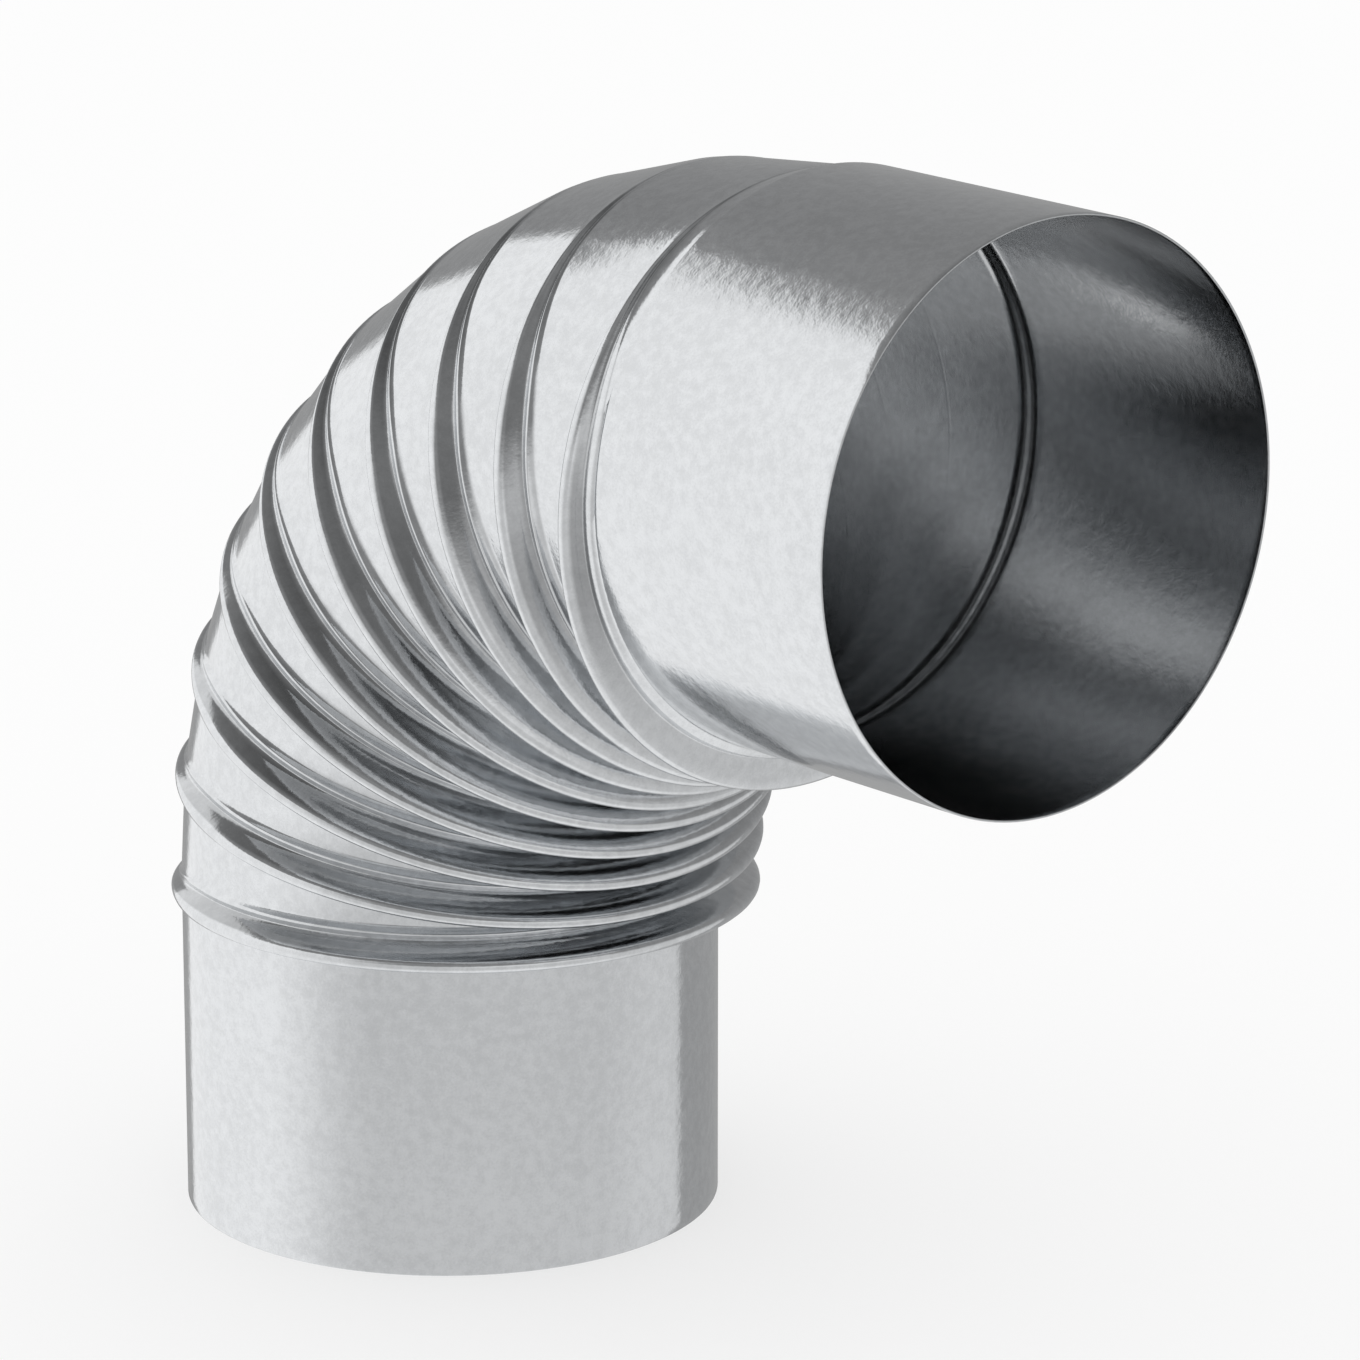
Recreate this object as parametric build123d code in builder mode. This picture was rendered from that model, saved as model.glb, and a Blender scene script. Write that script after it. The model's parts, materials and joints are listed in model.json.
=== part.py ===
"""Pleated 90 degree elbow of galvanised sheet, for round duct and stove pipe of 120 mm.

The elbow is one tube of thin sheet. Its lower end is a plain spigot that goes into the
next pipe, and its other end is a plain socket that takes a pipe. In between, the sheet
is folded outwards into pleats. Each pleat lies in a plane through the axis of the bend,
stands highest at the throat and runs out to nothing at the heel.

The origin is the centre of the spigot's rim. +Z runs up the spigot, and the socket
opens towards +X.
"""

import os

from build123d import *

# Driving dimensions, in millimetres and degrees
sheet = 0.5
spigot_diameter = 118.8
socket_bore = 120.8
spigot_length = 73.0
socket_length = 73.0
bend_radius = 117.0
bend_angle = 90.0

# The pleats. Heights are those at the throat, and the foot of a pleat and the start of
# the gore after it are measured from the pleat's crest, along the centreline
pleat_count = 10
pleat_height = 11.2
pleat_foot = 2.6
gore_start = 3.2
gore_rise = 1.3
socket_start = 5.0

# Sizes that follow from them
spigot_radius = spigot_diameter / 2
socket_radius = socket_bore / 2 + sheet
throat_radius = bend_radius - spigot_radius

# A pleat is this much narrower at the throat than on the centreline
throat_share = throat_radius / bend_radius

# One sheet at the throat, measured on the centreline: a crest is a closed fold of two
half_crest = sheet / throat_share

# One line from the spigot's rim round the bend to the socket's rim
with BuildLine(Plane.XZ) as centreline:
    spigot_axis = Line((0, 0), (0, spigot_length))
    bend_arc = JernArc(spigot_axis @ 1, spigot_axis % 1, bend_radius, -bend_angle)
    socket_axis = Line(bend_arc @ 1, bend_arc @ 1 + socket_length * (bend_arc % 1))

bend_length = bend_arc.length
bend_end = spigot_length + bend_length
duct_length = bend_end + socket_length
duct_path = centreline.wire()

# Each pleat rises from its foot to a flat crest and falls to the start of a gore, which
# tapers to the next foot. Inside, both flanks are one sheet in and meet at the tip.
outside_profile = [
    (-pleat_foot, 0),
    (-half_crest, pleat_height),
    (half_crest, pleat_height),
    (gore_start, gore_rise),
]
inside_profile = [
    (half_crest - pleat_foot, 0),
    (0, pleat_height),
    (gore_start - half_crest, gore_rise),
]


def section_plane(distance):
    """A plane square to the duct, with its X direction towards the heel."""
    centre = duct_path.position_at(distance, position_mode=PositionMode.LENGTH)
    forward = duct_path.tangent_at(distance, position_mode=PositionMode.LENGTH)
    return Plane(origin=centre, x_dir=(-forward.Z, 0, forward.X), z_dir=forward)


def tube_sections(profile, wall):
    """Distance along the duct, radius and shift to the throat of each round section."""
    pitch = bend_length / (pleat_count - 1)
    sections = [(0, spigot_radius - wall, 0)]
    for pleat in range(pleat_count):
        for offset, height in profile:
            along_bend = pleat * pitch + offset
            # Where the duct is straight, a pleat is as narrow all round as at the throat
            if along_bend < 0:
                along_bend = offset * throat_share
            if along_bend > bend_length:
                along_bend = bend_length + offset * throat_share
            sections.append((spigot_length + along_bend, spigot_radius + height / 2 - wall, height / 2))
    # No gore follows the last pleat, which falls to the start of the socket
    sections[-1] = (bend_end + socket_start, socket_radius - wall, 0)
    sections.append((duct_length, socket_radius - wall, 0))
    return sections


def tube_solid(profile, wall):
    """A closed solid with the form of the tube's outside or inside, built band by band."""
    sections = tube_sections(profile, wall)
    with BuildPart() as tube:
        for band_ends in zip(sections, sections[1:]):
            for distance, radius, shift in band_ends:
                with BuildSketch(section_plane(distance)):
                    with Locations((-shift, 0)):
                        Circle(radius)
            loft(clean=False)
    return tube.part


# The sheet is what lies between the tube's outside and its inside
outside = tube_solid(outside_profile, 0)
inside = tube_solid(inside_profile, sheet)

with BuildPart() as pleated_elbow:
    add(outside, clean=False)
    add(inside, mode=Mode.SUBTRACT, clean=False)

pleated_elbow.part.label = "pleated_elbow"

os.makedirs("parts", exist_ok=True)
export_step(pleated_elbow.part, "parts/pleated_elbow.step")

print("solids", len(pleated_elbow.part.solids()))
print("volume", round(pleated_elbow.part.volume), "cubic mm")
print("centre of mass", pleated_elbow.part.center())
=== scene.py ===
# %% [markdown]
# A pleated elbow for stove pipe, shown as a photographer would show it on white.
#
# The real thing is one tube of galvanised sheet. A machine folds the sheet outwards
# into ten pleats round the inside of the bend, and that turns a straight tube through
# ninety degrees. The packed model already holds the tube at its true size. This lesson
# adds the camera, the studio, a finer mesh of the folded sheet and its zinc finish.

import json
import math

import bpy
from mathutils import Matrix, Vector


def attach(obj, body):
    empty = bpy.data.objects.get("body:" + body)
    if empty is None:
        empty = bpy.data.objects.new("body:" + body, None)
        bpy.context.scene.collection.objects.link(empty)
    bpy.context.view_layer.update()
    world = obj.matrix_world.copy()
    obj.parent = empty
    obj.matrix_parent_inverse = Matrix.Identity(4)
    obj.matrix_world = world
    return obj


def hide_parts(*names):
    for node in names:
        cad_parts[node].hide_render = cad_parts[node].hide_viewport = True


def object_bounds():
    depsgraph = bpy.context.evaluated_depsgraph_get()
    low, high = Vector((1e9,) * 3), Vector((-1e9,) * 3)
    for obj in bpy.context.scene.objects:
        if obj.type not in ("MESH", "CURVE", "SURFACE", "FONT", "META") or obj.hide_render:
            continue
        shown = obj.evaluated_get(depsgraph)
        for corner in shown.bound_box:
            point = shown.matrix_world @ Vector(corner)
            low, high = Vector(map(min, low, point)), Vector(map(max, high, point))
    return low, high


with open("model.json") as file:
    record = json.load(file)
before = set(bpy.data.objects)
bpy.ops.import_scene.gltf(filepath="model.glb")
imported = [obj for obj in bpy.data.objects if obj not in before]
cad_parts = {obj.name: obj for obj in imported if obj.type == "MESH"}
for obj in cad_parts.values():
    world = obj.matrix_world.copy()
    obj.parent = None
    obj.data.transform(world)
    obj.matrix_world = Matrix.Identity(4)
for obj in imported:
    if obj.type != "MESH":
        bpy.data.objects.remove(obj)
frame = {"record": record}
cad_low, cad_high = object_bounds()
bpy.ops.object.select_all(action="DESELECT")
print("packed model, from", tuple(cad_low), "to", tuple(cad_high))

# %% [markdown]
# Blender works in metres, and the model stands on the floor at its origin, with the
# spigot upright and the socket opening towards +X. The mounts in the record give the
# radius of the spigot, the bore of the socket and how far each leg reaches, so those are
# read from there instead of being typed in again. Only the thickness of the sheet, the
# radius of the bend and the number of pleats are written here.

# %% Main sizes of the elbow
MM = 0.001
sheet = 0.5 * MM
bend_radius = 117 * MM
pleat_count = 10

mounts = {mount["name"]: mount for mount in frame["record"]["mounts"]}
spigot_radius = mounts["spigot"]["dims"]["r_mm"] * MM
socket_bore = mounts["socket"]["dims"]["r_mm"] * MM
socket_radius = socket_bore + sheet
bore_radius = spigot_radius - sheet

leg = mounts["socket"]["pos_m"][0]
straight = leg - bend_radius
bend_centre = Vector((bend_radius, 0, straight))

pleat_height = (cad_high.y - cad_low.y) - 2 * spigot_radius
pleat_angle = math.radians(90) / (pleat_count - 1)
print("spigot radius", spigot_radius, "leg", leg, "pleat height", round(pleat_height, 5))

# %% [markdown]
# The camera comes first, because everything else is judged through it. It stands at
# the photograph's viewing angle: 49 degrees round the elbow and a little above it, far
# away with a long lens, which is what keeps the two rims almost the same size.

# %% Camera
view_azimuth = math.radians(49.29)
view_elevation = math.radians(15.61)
view_target = Vector((10.2, 58.4, 108.7)) * MM
view_distance = 1.5046
lens = 177.3
sensor_width = 36

towards_camera = Vector((
    math.sin(view_azimuth) * math.cos(view_elevation),
    -math.cos(view_azimuth) * math.cos(view_elevation),
    math.sin(view_elevation),
))
bpy.ops.object.camera_add(
    location=view_target + view_distance * towards_camera,
    rotation=(math.radians(90) - view_elevation, 0, view_azimuth),
)
camera = bpy.context.object
camera.name = "camera"
camera.data.lens = lens
camera.data.sensor_width = sensor_width
bpy.context.scene.camera = camera
bpy.context.scene.view_settings.view_transform = "Standard"
print("camera at", tuple(round(x, 3) for x in camera.location))

# %% [markdown]
# Materials are easier to read as sums than as a web of nodes. This small class wraps an
# output of a node, so that `1 - mask * 0.5` adds the Math nodes by itself, and its `node`
# method adds any other node: first its settings, then the values or links of its inputs.

# %% Shader maths
class Signal:
    """An output of a node, or the node tree alone when there is no output yet."""

    def __init__(self, tree, output=None):
        self.tree = tree
        self.output = output

    def node(self, kind, settings=None, values=None, output=0):
        """Adds one node and gives back one of its outputs, if it has any."""
        made = self.tree.nodes.new(kind)
        for name, value in (settings or {}).items():
            setattr(made, name, value)
        for name, value in (values or {}).items():
            if isinstance(value, Signal):
                self.tree.links.new(value.output, made.inputs[name])
            else:
                made.inputs[name].default_value = value
        return Signal(self.tree, made.outputs[output] if made.outputs else None)

    def sibling(self, name):
        """Another output of the same node."""
        return Signal(self.tree, self.output.node.outputs[name])

    def maths(self, operation, *operands):
        return self.node("ShaderNodeMath", {"operation": operation}, dict(enumerate(operands)))

    def __add__(self, other):
        return self.maths("ADD", self, other)

    __radd__ = __add__

    def __sub__(self, other):
        return self.maths("SUBTRACT", self, other)

    def __rsub__(self, other):
        return self.maths("SUBTRACT", other, self)

    def __mul__(self, other):
        return self.maths("MULTIPLY", self, other)

    __rmul__ = __mul__

    def __truediv__(self, other):
        return self.maths("DIVIDE", self, other)

    def larger(self, other):
        return self.maths("MAXIMUM", self, other)

    def step(self, low, high):
        """0 below low, 1 above high and smooth in between."""
        settings = {"interpolation_type": "SMOOTHSTEP"}
        values = {"Value": self, "From Min": low, "From Max": high}
        return self.node("ShaderNodeMapRange", settings, values)

    def blend(self, low, high):
        """The colour low where this is 0 and high where it is 1."""
        factor, first, second, result = 0, 6, 7, 2
        values = {factor: self, first: low, second: high}
        return self.node("ShaderNodeMix", {"data_type": "RGBA"}, values, result)


print("shader maths:", ", ".join(name for name in vars(Signal) if name[0] != "_"))

# %% [markdown]
# Every material starts with an empty node tree and ends with its output, and a place on
# the object often has to be split into x, y and z. These helpers do that.

# %% Start and finish a material
def grey(level):
    return (level, level, level, 1)


def start_material(name):
    """A new material with nothing in it yet, and its tree."""
    material = bpy.data.materials.new(name)
    material.use_nodes = True
    material.node_tree.nodes.clear()
    return material, Signal(material.node_tree)


def finish_material(tree, shader):
    tree.node("ShaderNodeOutputMaterial", None, {"Surface": shader})


def split(place):
    """The x, y and z of a place."""
    x = place.node("ShaderNodeSeparateXYZ", None, {"Vector": place}, "X")
    return x, x.sibling("Y"), x.sibling("Z")


print("grey(0.5) is", grey(0.5))

# %% [markdown]
# A bright metal looks like what stands around it, so the studio is most of its colour.
# The background is white and lights everything evenly from all sides, as a tent of white
# cloth does. What the camera and the reflections see of it is exactly white. The light
# that it gives is a touch lower, so that pale surfaces don't clip.

# %% White world
world_light = 0.98

world = bpy.data.worlds.new("white_studio")
world.use_nodes = True
world.node_tree.nodes.clear()
bpy.context.scene.world = world

world_tree = Signal(world.node_tree)
to_camera = world_tree.node("ShaderNodeLightPath", output="Is Camera Ray")
seen = to_camera.larger(to_camera.sibling("Is Glossy Ray"))
seen = seen.larger(to_camera.sibling("Is Transmission Ray"))
strength = world_light + seen * (1 - world_light)
background = world_tree.node(
    "ShaderNodeBackground", None, {"Color": grey(1), "Strength": strength}
)
world_tree.node("ShaderNodeOutputWorld", None, {"Surface": background})
print("white world, lighting at", world_light)

# %% [markdown]
# The elbow stands on a wide, pale floor. Its matt white is mixed with plain white for the
# camera alone, which lifts it towards the background while it keeps a soft shadow. A
# plain circle is enough, because nothing of its edge is seen.

# %% Pale floor
floor_radius = 6.0
floor_white = 0.97
floor_glow = 0.6

bpy.ops.mesh.primitive_circle_add(
    vertices=96, radius=floor_radius, fill_type="NGON", location=(0, 0, 0)
)
floor = bpy.context.object
floor.name = "floor"

floor_material, tree = start_material("pale_floor")
diffuse = tree.node("ShaderNodeBsdfDiffuse", None, {"Color": grey(floor_white)})
glow = tree.node("ShaderNodeEmission", None, {"Color": grey(1)})
to_camera = tree.node("ShaderNodeLightPath", output="Is Camera Ray")
pale = tree.node("ShaderNodeMixShader", None, {0: to_camera * floor_glow, 1: diffuse, 2: glow})
finish_material(tree, pale)

floor.data.materials.append(floor_material)
floor.visible_glossy = False
print("floor of radius", floor_radius)

# %% [markdown]
# Photographers stand cards round a bright metal thing, and their reflections draw its
# form. Here one large dome does the work of all the cards. Only reflections see it, so it
# shades neither the floor nor the picture, and its brightness is written as a sum over
# two angles: the bearing round the elbow and the height above the horizon.

# %% Directions on the dome
dome_radius = 4.0
dome_centre = Vector((60, 0, 130)) * MM
opening_azimuth = math.radians(205)

dome_material, tree = start_material("reflection_dome")
place = tree.node("ShaderNodeTexCoord", output="Object")
turned_place = place.node(
    "ShaderNodeVectorRotate",
    {"rotation_type": "Z_AXIS"},
    {"Vector": place, "Angle": -opening_azimuth},
)
east, north, up = split(turned_place)

# Degrees round from the middle of the white opening, and degrees above the horizon
bearing = north.maths("ARCTAN2", north, east) * math.degrees(1)
height = up.maths("ARCSINE", up / dome_radius) * math.degrees(1)
print("dome of radius", dome_radius, "round", tuple(round(x, 3) for x in dome_centre))

# %% [markdown]
# A wide opening on the left lets the white in. The front is a calm grey that is lighter
# where it faces the bend and falls off to the right and upwards. A dark card stands on
# the far side, from the edge of the opening to the right end of the front, and a dark
# cover hangs overhead. Low down, the pale floor shows.

# %% Brightness of the dome
white = 1.0
front_grey = 0.655
high_front_grey = 0.27
cover_height = 43

# Bearings run on past 180 as -180, so the right end of the front has the lowest ones.
# The far card goes on from there to the opening, which is narrower just under the cover
right_end = 1 - bearing.step(-128.8, -128.2)
opening_edge = height.step(36, 43) * 13 - 36
far_card = (1 - right_end) * (1 - (bearing - opening_edge).step(-1, 1))
far_card_grey = 0.34 - 0.002 * height

# The opening fades into the front
opening = (1 - right_end) * (1 - bearing.step(25, 85))
front = front_grey + (white - front_grey) * opening
front = front + 0.06 * bearing.step(-180, -150) * right_end

# The part of the front that faces the bend is lighter, and its right part is darker
facing_bend = bearing.step(105, 130) * (1 - bearing.step(155, 175))
front = front + 0.2 * facing_bend * height.step(-12, 6)
right_part = bearing.step(158, 178) + right_end
front = front - 0.42 * right_part * height.step(-12, 30)

# High up, the whole front is dark
whole_front = bearing.step(60, 95) + right_end
front = front + whole_front * height.step(4, 24) * (high_front_grey - front)

level = front + far_card * (far_card_grey - front)
cover_grey = 0.29 - 0.0042 * (height - cover_height)
level = level + height.step(cover_height - 1.5, cover_height + 2.5) * (cover_grey - level)
floor_below = 1 - height.step(-75, -40)
level = level + floor_below * (0.92 - level)
print("front", front_grey, "high front", high_front_grey, "cover from", cover_height, "degrees")

# %% Reflection dome
emission = tree.node("ShaderNodeEmission", None, {"Color": level})
finish_material(tree, emission)

bpy.ops.mesh.primitive_uv_sphere_add(
    segments=64, ring_count=32, radius=dome_radius, location=dome_centre
)
dome = bpy.context.object
dome.name = "reflection_dome"
dome.data.materials.append(dome_material)
dome.visible_camera = False
dome.visible_diffuse = False
dome.visible_shadow = False
dome.visible_transmission = False
print("dome faces", len(dome.data.polygons))

# %% [markdown]
# Some marks on the sheet follow the pleats: painted shade darkens the folds, where the
# pleats shade themselves, and rolling leaves faint lines round the tube. Both need to
# know how far a point lies from the nearest crest. That is worked out from the point's
# place, because all crests lie in planes through the axis of the bend, at equal angles.

# %% Distance from a crest
streak_density = 1400


def from_crest(place):
    """Millimetres onward from the nearest crest, and outward from the bend's own line."""
    x, y, z = split(place)
    back = bend_radius - x
    rise = z - straight
    angle = rise.maths("ARCTAN2", rise, back)
    pleats_on = angle / pleat_angle
    nearest = pleats_on.maths("ROUND", pleats_on).larger(0)
    nearest = nearest.maths("MINIMUM", nearest, pleat_count - 1)
    turned = angle - nearest * pleat_angle
    reach = back.maths("SQRT", back * back + rise * rise)
    return reach * turned.maths("SINE", turned) / MM, (reach - bend_radius) / MM


def round_streaks(place):
    """Noise drawn out round the tube, as rolling leaves it."""
    x, y, z = split(place)
    onward, outward = from_crest(place)
    round_tube = y.maths("ARCTAN2", y / MM, outward)
    drawn_out = place.node(
        "ShaderNodeCombineXYZ",
        None,
        {"X": x * streak_density, "Y": round_tube * 22, "Z": z * streak_density},
    )
    values = {"Vector": drawn_out, "Scale": 1.0, "Detail": 3}
    return place.node("ShaderNodeTexNoise", {"noise_dimensions": "3D"}, values)


print("a streak every", round(1 / streak_density / MM, 2), "mm or so")

# %% [markdown]
# Hot-dip zinc is a bright, faintly blue grey with a fine crystal mottle. It is smooth
# enough to show the studio as clear shapes, but its skin is a little uneven, so their
# edges are frayed. An image of zinc would need seams and would show its grain at one
# size only. Noise on the object's own coordinates has neither fault.

# %% Zinc finish
skin_unevenness = 0.09 * MM


def cool_grey(level):
    """A grey with the faint blue of zinc."""
    return (0.98 * level, level, 1.02 * level, 1)


def fold_shade_mask(place):
    """Where painted shade darkens the folds: 1 on both sides of a crest, less towards the throat
    and the heel.
    """
    onward, outward = from_crest(place)
    # Towards the heel, the folds are drawn together to a fifth of their width
    gathered = onward / (1 - 0.8 * outward.step(8, 50))
    rise_fold = gathered.step(-2.5, -2.2) * (1 - gathered.step(-1.6, -1.3))
    fall_fold = gathered.step(1.3, 1.7) * (1 - gathered.step(3.5, 3.8))
    depth = 0.2 + 0.8 * outward.step(-50, -15) - 0.6 * outward.step(-20, 35)
    return (rise_fold + fall_fold) * depth


def zinc(name, dull, bright, roughness, painted_fold_shade):
    material, tree = start_material(name)
    place = tree.node("ShaderNodeTexCoord", output="Object")

    def noise(scale, detail):
        settings = {"noise_dimensions": "3D"}
        values = {"Vector": place, "Scale": scale, "Detail": detail}
        return tree.node("ShaderNodeTexNoise", settings, values)

    crystals = noise(scale=420, detail=3)
    grain = noise(scale=1900, detail=2)
    clouds = noise(scale=28, detail=2)
    mottle = crystals * 0.5 + grain * 0.3 + clouds * 0.2
    clean = mottle.step(0.35, 0.65).blend(cool_grey(dull), cool_grey(bright))
    # Painted shade: the colour is darkened towards black in the folds, where the pleats shade
    # themselves
    colour = (fold_shade_mask(place) * painted_fold_shade).blend(clean, grey(0))

    ripples = noise(scale=330, detail=4)
    unevenness = ripples * 0.6 + grain * 0.1 + round_streaks(place) * 0.15
    bump = tree.node(
        "ShaderNodeBump",
        None,
        {"Height": unevenness, "Strength": 1.0, "Distance": skin_unevenness},
    )
    metal = {
        "Base Color": colour,
        "Metallic": 1.0,
        "Roughness": roughness + 0.08 * crystals,
        "Normal": bump,
    }
    finish_material(tree, tree.node("ShaderNodeBsdfPrincipled", None, metal))
    return material


outer_zinc = zinc("galvanised_sheet", dull=0.70, bright=0.80, roughness=0.08, painted_fold_shade=0.42)
# The inside is a darker copy of the outside zinc: its lower colour is painted shade for the
# inside of the tube
shaded_inner_zinc = zinc(
    "galvanised_sheet_inside_shaded", dull=0.50, bright=0.60, roughness=0.15, painted_fold_shade=0
)
print("outside", len(outer_zinc.node_tree.nodes), "nodes, bump", skin_unevenness / MM, "mm")

# %% [markdown]
# Every cross-section of the tube is a ring, and the sheet is what lies between one ring
# and the next. A ring is told by how far it is turned about the axis of the bend, how
# far it is moved straight on from the crest of its pleat, its half widths towards the
# throat and towards the side, and its shift to the throat. All rings of a pleat meet at
# the heel, where the pleat has run out to nothing.

# %% Rings
ring_points = 192


class Ring:
    """One cross-section of a skin of the tube."""

    def __init__(self, turned, onward, deep, wide, shift=0):
        self.turned = turned
        self.onward = onward
        self.deep = deep
        self.wide = wide
        self.shift = shift

    def further(self, along_bend):
        """The same ring, further along the bend."""
        return Ring(self.turned + along_bend, self.onward, self.deep, self.wide, self.shift)


def round_ring(onward, radius):
    return Ring(0, onward, radius, radius)


def fold_ring(turned, onward, share, drop=0):
    """A ring with a share of the pleat's height, less a drop."""
    throat = pleat_height * share - drop
    side = pleat_height * share / 2 - drop
    return Ring(turned, onward, spigot_radius + throat / 2, spigot_radius + side, throat / 2)


print("a crest reaches", round(fold_ring(0, 0, 1).deep / MM, 2), "mm from its own middle")

# %% [markdown]
# One pleat is a fold of the sheet. It rises steeply from the gore below it, rolls over in
# a round bead along the crest and falls steeply to a low fold line, after which the sheet
# runs on as the next gore, which is a plain band that tapers towards the throat. Each row
# of these lists is one ring. A drop lowers a ring by the same amount at the throat and
# at the sides, which rounds the fold.

# %% Profile of a pleat
bead_radius = 1.55 * MM


def bead_ring(degrees):
    """A ring on the round bead along the crest."""
    angle = math.radians(degrees)
    drop = bead_radius * (1 - math.cos(angle))
    return fold_ring(0, bead_radius * math.sin(angle), 1, drop)


def fold_rings(rows):
    """Rings from rows of turned, onward, share and drop, with the lengths in millimetres."""
    return [
        fold_ring(turned * MM, onward * MM, share, drop * MM)
        for turned, onward, share, drop in rows
    ]


rise_rings = fold_rings([
    (0, -2.55, 0, 0),
    (0, -2.3, 0.015, 0),
    (0, -2.0, 0.06, 0),
    (0, -1.75, 0.25, 0.5),
    (0, -1.6, 0.55, 1.0),
])
bead_rings = [bead_ring(degrees) for degrees in (-80, -60, -40, -20, 0, 15, 30, 45, 60)]
fall_rings = fold_rings([
    (0, 2.3, 0.75, 0.81),
    (0, 2.95, 0.499, 0.65),
    (0, 3.55, 0.262, 0.5),
    (0, 3.75, 0.245, 0.48),
    (0, 3.95, 0.25, 0.42),
    (0.1, 4.3, 0.252, 0.2),
    (0.3, 4.6, 0.255, 0.06),
    (0.5, 4.8, 0.25, 0),
    (0.62, 4.9, 0.235, 0),
    (0.72, 4.9, 0.2, 0),
    (1.05, 4.9, 0.12, 0),
    (1.4, 4.9, 0.05, 0),
    (1.8, 4.9, 0.015, 0),
    (2.4, 4.9, 0, 0),
])
pleat_rings = rise_rings + bead_rings + fall_rings
print("rings in a pleat", len(pleat_rings))

# %% [markdown]
# The mesh is drawn as by hand. A ring is extruded, and the copy is turned, stretched
# and moved to its own place. The turn is always about the axis of the bend, which is
# why the ring goes back to the start of the bend before it is stretched and moved.

# %% Extrude from ring to ring
def turn_about_bend(angle):
    """Turns what is selected. Without a window, this operator turns the other way."""
    if angle:
        bpy.ops.transform.rotate(value=-angle, orient_axis="Y", center_override=bend_centre)


def ring_angle(base_angle, ring):
    return base_angle + ring.turned / bend_radius


def first_ring(base_angle, ring):
    """Starts a new object with one ring in it, all of it selected in edit mode."""
    bpy.ops.mesh.primitive_circle_add(vertices=ring_points, radius=1, location=(0, 0, 0))
    bpy.ops.object.mode_set(mode="EDIT")
    bpy.ops.mesh.select_all(action="SELECT")
    bpy.ops.transform.resize(value=(ring.deep, ring.wide, 1), center_override=(0, 0, 0))
    bpy.ops.transform.translate(value=(ring.shift, 0, straight + ring.onward))
    turn_about_bend(ring_angle(base_angle, ring))
    return bpy.context.object


def extrude_rings(base_angle, rings):
    """Extrudes the selected ring, which is the first of these, on to each of the others."""
    for before, after in zip(rings, rings[1:]):
        bpy.ops.mesh.extrude_region_move(TRANSFORM_OT_translate={"value": (0, 0, 0)})
        turn_about_bend(-ring_angle(base_angle, before))
        bpy.ops.transform.resize(
            value=(after.deep / before.deep, after.wide / before.wide, 1),
            center_override=(before.shift, 0, straight + before.onward),
        )
        bpy.ops.transform.translate(
            value=(after.shift - before.shift, 0, after.onward - before.onward)
        )
        turn_about_bend(ring_angle(base_angle, after))


print("points in a ring", ring_points)

# %% [markdown]
# Operators act on what is selected, so two helpers select by place: one takes points by
# their numbers, and the other finds the points of one ring by the plane that they lie in.

# %% Select points and rings
plane_tolerance = 0.02 * MM


def select_points(skin, chosen):
    """Selects the points with the chosen numbers, and what lies between them."""
    bpy.ops.object.mode_set(mode="OBJECT")
    for point in skin.data.vertices:
        point.select = point.index in chosen
    for edge in skin.data.edges:
        edge.select = all(i in chosen for i in edge.vertices)
    for face in skin.data.polygons:
        face.select = all(i in chosen for i in face.vertices)
    bpy.ops.object.mode_set(mode="EDIT")


def select_ring(skin, base_angle, ring):
    """Selects the points of one ring."""
    turn = Matrix.Rotation(ring_angle(base_angle, ring), 3, "Y")
    forward = turn @ Vector((0, 0, 1))
    middle = bend_centre + turn @ Vector((-bend_radius, 0, ring.onward))
    chosen = {
        point.index
        for point in skin.data.vertices
        if abs((point.co - middle).dot(forward)) < plane_tolerance
    }
    select_points(skin, chosen)


print("a point is on a ring within", plane_tolerance / MM, "mm of its plane")

# %% [markdown]
# On the real elbow a pleat gets narrower towards the heel, until it is only a thin line.
# The rings of the profile keep their distance all round, so they are drawn together
# there: the points at the heel are squeezed towards the crest, and proportional editing
# lets the pull fade out towards the sides. The rest of the mesh is hidden meanwhile,
# because proportional editing would move it as well.

# %% Gather a pleat at the heel
heel_start = bend_radius + 0.77 * spigot_radius
gather_reach = 40 * MM
gather_share = 0.2


def gather_at_heel(skin, points, crest, squeeze):
    """Draws rings together towards the crest, the more the nearer they are to the heel."""
    bpy.ops.object.mode_set(mode="OBJECT")
    places = skin.data.vertices
    heel = {i for i in points if (places[i].co - bend_centre).xz.length > heel_start}
    select_points(skin, set(points))
    bpy.ops.mesh.hide(unselected=True)
    select_points(skin, heel)
    bpy.ops.transform.resize(
        value=squeeze,
        center_override=crest,
        use_proportional_edit=True,
        proportional_edit_falloff="SMOOTH",
        proportional_size=gather_reach,
    )
    bpy.ops.mesh.reveal(select=False)


print("at the heel a pleat is", gather_share, "times as wide")

# %% [markdown]
# The sheet has an outer and an inner skin, half a millimetre apart, and both are made the
# same way. One pleat is modelled. Spin copies it round the bend, and the nine copies are
# merged where they meet. Then the open ring at each end is extruded on into the spigot
# and, by way of the tenth pleat, into the socket.

# %% One skin of the tube
pitch = pleat_angle * bend_radius
last_angle = pleat_angle * (pleat_count - 1)
merge_distance = 0.01 * MM


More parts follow.
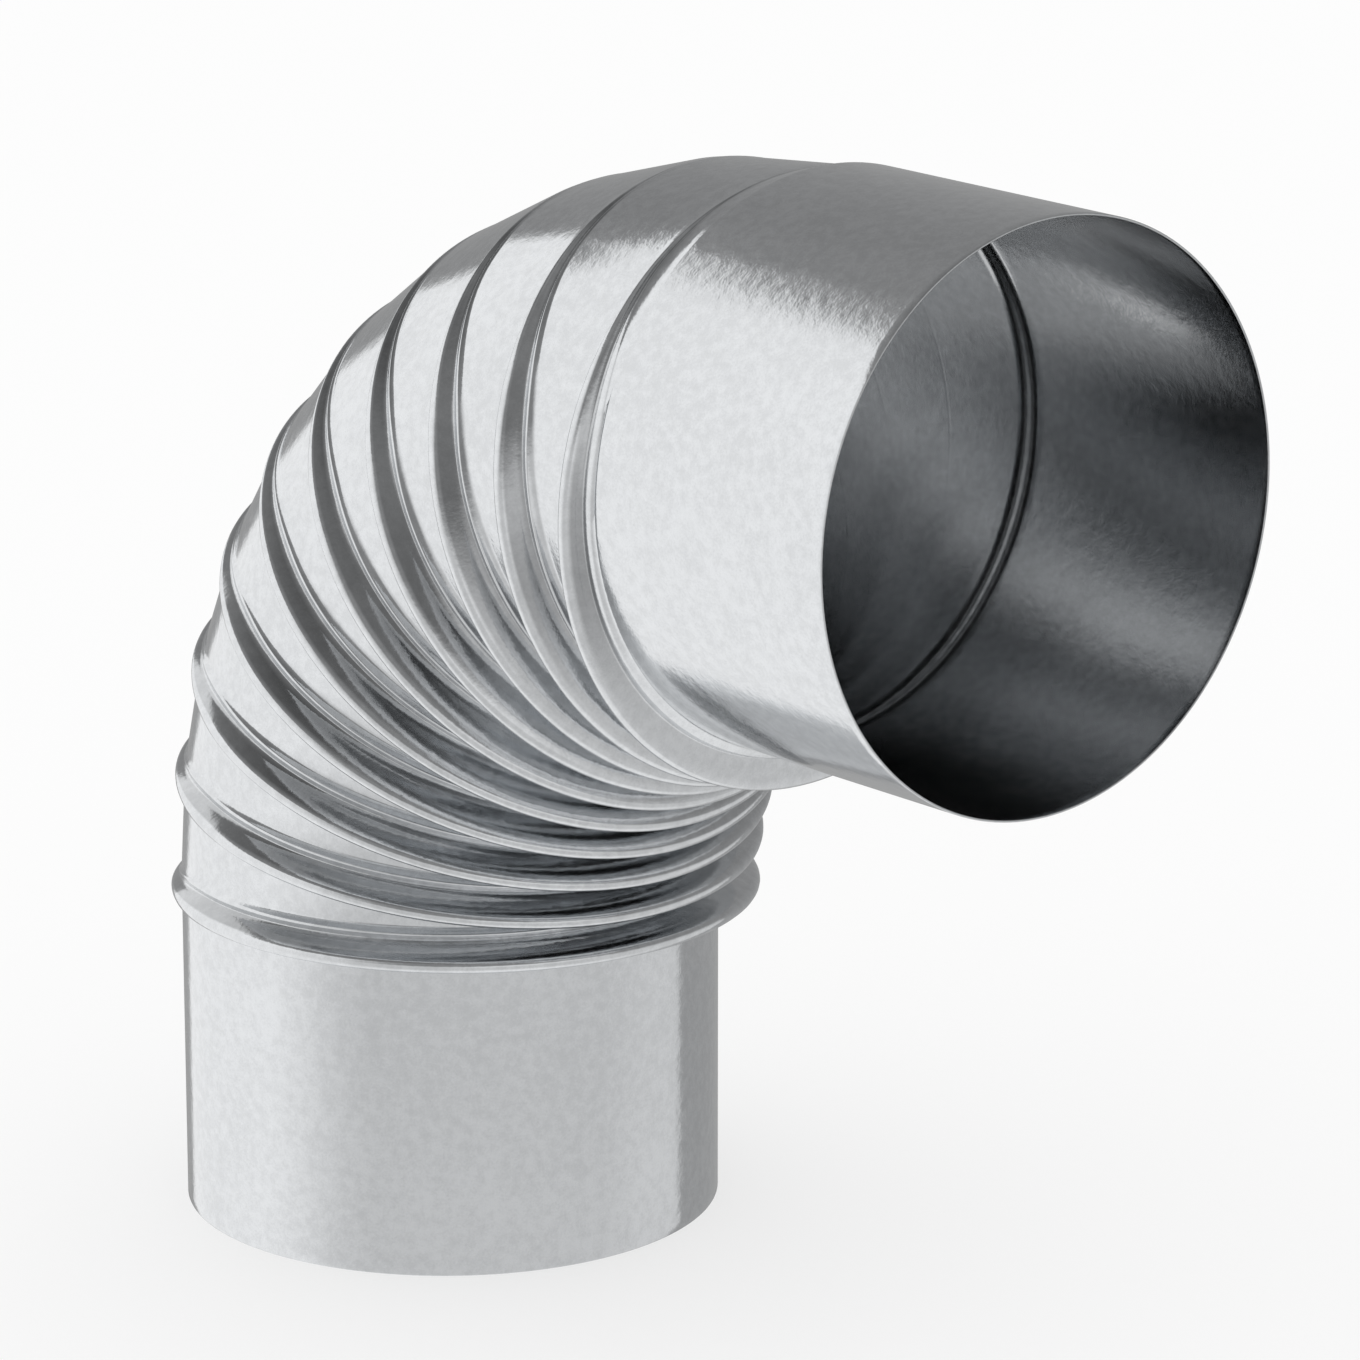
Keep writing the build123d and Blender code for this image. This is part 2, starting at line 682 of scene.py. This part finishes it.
def repeated_pleat(pleat):
    """Models the first pleat, gathers it and spins it on to the start of the last."""
    skin = first_ring(0, pleat[0])
    extrude_rings(0, pleat + [pleat[0].further(pitch)])
    own_points = range(ring_points, ring_points * len(pleat))
    gather_at_heel(skin, own_points, (0, 0, straight), (1, 1, gather_share))
    bpy.ops.mesh.select_all(action="SELECT")
    bpy.ops.mesh.spin(
        dupli=True,
        steps=pleat_count - 2,
        angle=pleat_angle * (pleat_count - 2),
        center=bend_centre,
        axis=(0, -1, 0),
    )
    bpy.ops.mesh.select_all(action="SELECT")
    bpy.ops.mesh.remove_doubles(threshold=merge_distance)
    bpy.ops.object.mode_set(mode="OBJECT")
    return skin


def make_skin(name, material, pleat, spigot_end, last_pleat, socket_end):
    """A skin of the sheet: nine pleats alike, the spigot, the last pleat and the socket."""
    skin = repeated_pleat(pleat)
    select_ring(skin, 0, pleat[0])
    extrude_rings(0, [pleat[0]] + spigot_end)
    bpy.ops.object.mode_set(mode="OBJECT")

    first_point = len(skin.data.vertices)
    select_ring(skin, last_angle, pleat[0])
    extrude_rings(last_angle, [pleat[0]] + last_pleat + socket_end)
    own_points = range(first_point, first_point + ring_points * len(last_pleat))
    gather_at_heel(skin, own_points, (bend_radius, 0, leg), (gather_share, 1, 1))
    bpy.ops.object.mode_set(mode="OBJECT")

    skin.name = name
    skin.data.materials.append(material)
    print(name, "points", len(skin.data.vertices))
    return skin


print("crests are", round(pitch / MM, 2), "mm apart along the bend")

# %% [markdown]
# The outer skin has the full profile. Its spigot and socket are plain, and both rims are
# rounded a little, because a sheared edge catches a thin line of light. The last pleat
# has no gore after it and falls straight to the start of the socket.

# %% Outer skin
rim = 0.15 * MM

outer_spigot_end = [
    round_ring(-6 * MM, spigot_radius),
    round_ring(-straight + 2 * MM, spigot_radius),
    round_ring(-straight + rim, spigot_radius),
    round_ring(-straight + 0.3 * rim, spigot_radius - 0.3 * rim),
    round_ring(-straight, spigot_radius - rim),
]
last_fall_rings = fold_rings([
    (0, 2.0, 0.6, 0.2),
    (0, 2.25, 0.36, 0),
    (0, 2.45, 0.33, 0),
    (0, 3.1, 0.325, 0),
    (0, 4.6, 0.31, 0),
    (0, 5.0, 0.28, 0),
    (0, 5.4, 0.22, 0),
])
outer_socket_end = [
    round_ring(6.1 * MM, socket_radius),
    round_ring(6.6 * MM, socket_radius),
    round_ring(8.0 * MM, socket_radius),
    round_ring(straight - 2 * MM, socket_radius),
    round_ring(straight - rim, socket_radius),
    round_ring(straight - 0.3 * rim, socket_radius - 0.3 * rim),
    round_ring(straight, socket_radius - rim),
]
outer_skin = make_skin(
    "folded_sheet",
    outer_zinc,
    pleat_rings,
    outer_spigot_end,
    rise_rings[1:] + bead_rings + last_fall_rings,
    outer_socket_end,
)

# %% [markdown]
# Inside, a closed fold shows no more than a very fine crease, so a pleat of the inner
# skin has only five rings. In the mouth, a shallow double step marks where the bore of
# the socket begins. Both ends run out to the rim, where the outer skin ends as well.

# %% Inner skin
crease = 0.3 * MM
crease_depth = 0.005 * pleat_height

crease_rings = [
    round_ring(-2 * crease, bore_radius),
    round_ring(-crease, bore_radius),
    Ring(0, 0, bore_radius + crease_depth / 2, bore_radius + crease_depth / 2, crease_depth / 2),
    round_ring(crease, bore_radius),
    round_ring(2 * crease, bore_radius),
]
inner_spigot_end = [
    round_ring(-straight + 2 * MM, bore_radius),
    round_ring(-straight + rim, bore_radius),
    round_ring(-straight + 0.3 * rim, bore_radius + 0.3 * rim),
    round_ring(-straight, bore_radius + rim),
    round_ring(-straight, spigot_radius - rim),
]
last_crease_rings = [
    round_ring(0, bore_radius),
    round_ring(1.2 * MM, bore_radius),
]
inner_socket_end = [
    round_ring(2.0 * MM, bore_radius),
    round_ring(3.7 * MM, bore_radius + 0.62 * MM),
    round_ring(3.95 * MM, bore_radius + 0.85 * MM),
    round_ring(5.5 * MM, socket_bore - 0.08 * MM),
    round_ring(6.0 * MM, socket_bore),
    round_ring(8.0 * MM, socket_bore),
    round_ring(straight - 2 * MM, socket_bore),
    round_ring(straight - rim, socket_bore),
    round_ring(straight - 0.3 * rim, socket_bore + 0.3 * rim),
    round_ring(straight, socket_bore + rim),
    round_ring(straight, socket_radius - rim),
]
inner_skin = make_skin(
    "inner_skin",
    shaded_inner_zinc,
    crease_rings,
    inner_spigot_end,
    last_crease_rings,
    inner_socket_end,
)

# %% [markdown]
# The two skins end on the same rings at the rims, so joining them and merging their
# doubles closes the sheet. The normals are then made to point outwards, and smooth
# shading keeps only the sharp edges of the rims and folds.

# %% Join the two skins at the rims
outer_skin.select_set(True)
bpy.context.view_layer.objects.active = outer_skin
bpy.ops.object.join()
elbow = bpy.context.object

bpy.ops.object.mode_set(mode="EDIT")
bpy.ops.mesh.select_all(action="SELECT")
bpy.ops.mesh.remove_doubles(threshold=merge_distance)
bpy.ops.mesh.normals_make_consistent(inside=False)
bpy.ops.mesh.select_all(action="DESELECT")
bpy.ops.mesh.select_non_manifold()
open_points = elbow.data.total_vert_sel
bpy.ops.object.mode_set(mode="OBJECT")
bpy.ops.object.shade_smooth_by_angle(angle=math.radians(60))
elbow.data.name = elbow.name
print("faces", len(elbow.data.polygons), "points on an open edge", open_points)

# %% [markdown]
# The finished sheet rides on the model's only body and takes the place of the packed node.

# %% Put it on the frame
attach(elbow, "root")
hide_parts("pleated_elbow")
print(elbow.name, "replaces pleated_elbow")

# %% [markdown]
# The finer mesh must be no bigger than the packed model, whose box is printed at the start.
